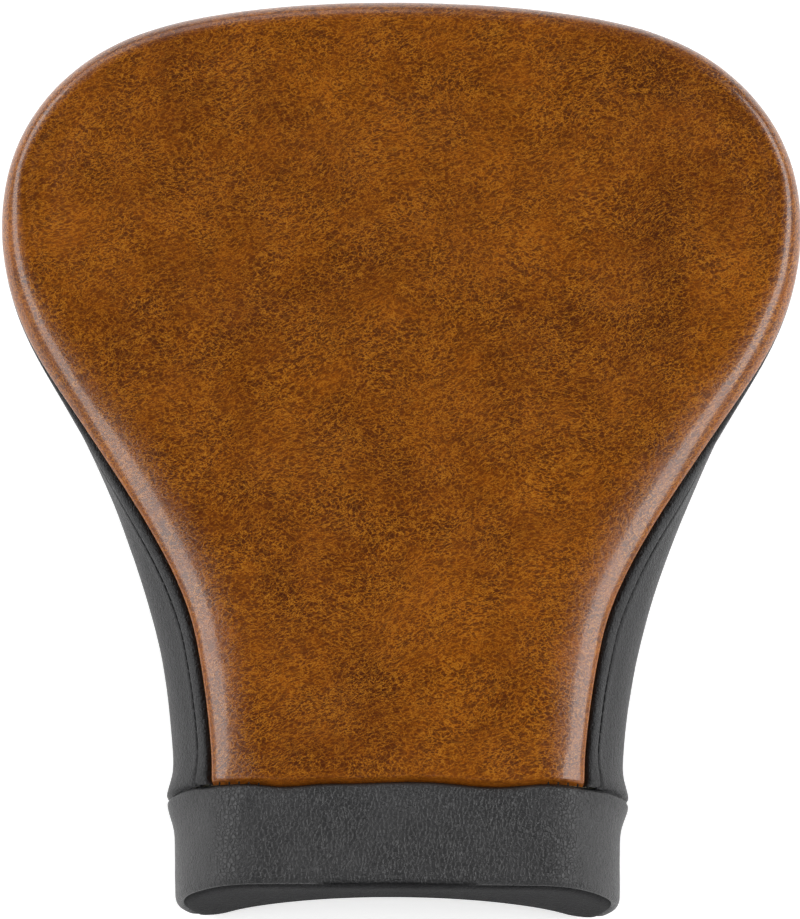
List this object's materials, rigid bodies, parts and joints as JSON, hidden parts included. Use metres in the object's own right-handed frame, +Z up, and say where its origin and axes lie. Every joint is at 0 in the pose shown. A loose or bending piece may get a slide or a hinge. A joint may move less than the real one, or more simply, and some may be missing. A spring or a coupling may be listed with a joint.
{
  "type": "motorcycle saddle",
  "caption": "Solo motorcycle saddle with a leather top, vinyl sides and nose, an arched base pan, a front tongue and a captive screw at the back tab.",
  "frame": {"origin": "on the plane the rail pads stand on, under the middle of the bounding box", "axes": "+Z up, +Y to the back of the saddle, nose towards -Y, +X to the right as seen from the nose"},
  "size_m": [0.3834, 0.456, 0.1291],
  "materials": {
    "leather_brown": "waxed, semi-gloss",
    "vinyl_grey": "satin, pebbled",
    "soft_foam": "matt",
    "gel": "soft, glossy",
    "foam": "matt",
    "pan_plastic": "moulded, matt",
    "black_steel": "powder coat",
    "zinc_steel": "zinc plated",
    "black_oxide": "black oxide",
    "nylon": "natural nylon",
    "rubber_black": "matt",
    "chrome": "polished",
    "staple_steel": "galvanised"
  },
  "bodies": {
    "seat": {"top_panel": "leather_brown", "side_panel_left": "vinyl_grey", "side_panel_right": "vinyl_grey", "nose_panel": "vinyl_grey", "nose_end_panel": "vinyl_grey", "comfort_layer": "soft_foam", "gel_pad": "gel", "foam_core": "foam", "base_pan": "pan_plastic", "front_bracket": "black_steel", "front_bracket_rivets": "zinc_steel", "front_rivet_washers": "zinc_steel", "rear_tab": "black_steel", "rear_tab_bolts": "black_oxide", "rear_nut_plate": "zinc_steel", "rear_tab_nuts": "zinc_steel", "screw_bush": "nylon", "rail_pads": "rubber_black", "rail_pad_rivets": "zinc_steel", "rail_rivet_washers": "zinc_steel", "tunnel_pads": "rubber_black", "tunnel_pad_rivets": "zinc_steel", "tunnel_rivet_washers": "zinc_steel", "cover_staples": "staple_steel"},
    "washer": {"screw_washer": "rubber_black"},
    "screw": {"fender_screw": "chrome"}
  },
  "joints": [
    {"name": "screw_lift", "type": "slide", "parent": "seat", "child": "washer", "axis": [0, 0.2079, 0.9781], "range_m": [0, 0.0048]},
    {"name": "screw_turn", "type": "hinge", "parent": "washer", "child": "screw", "pos_m": [0, 0.2135, 0.03333], "axis": [0, 0.2079, 0.9781], "continuous": true}
  ]
}
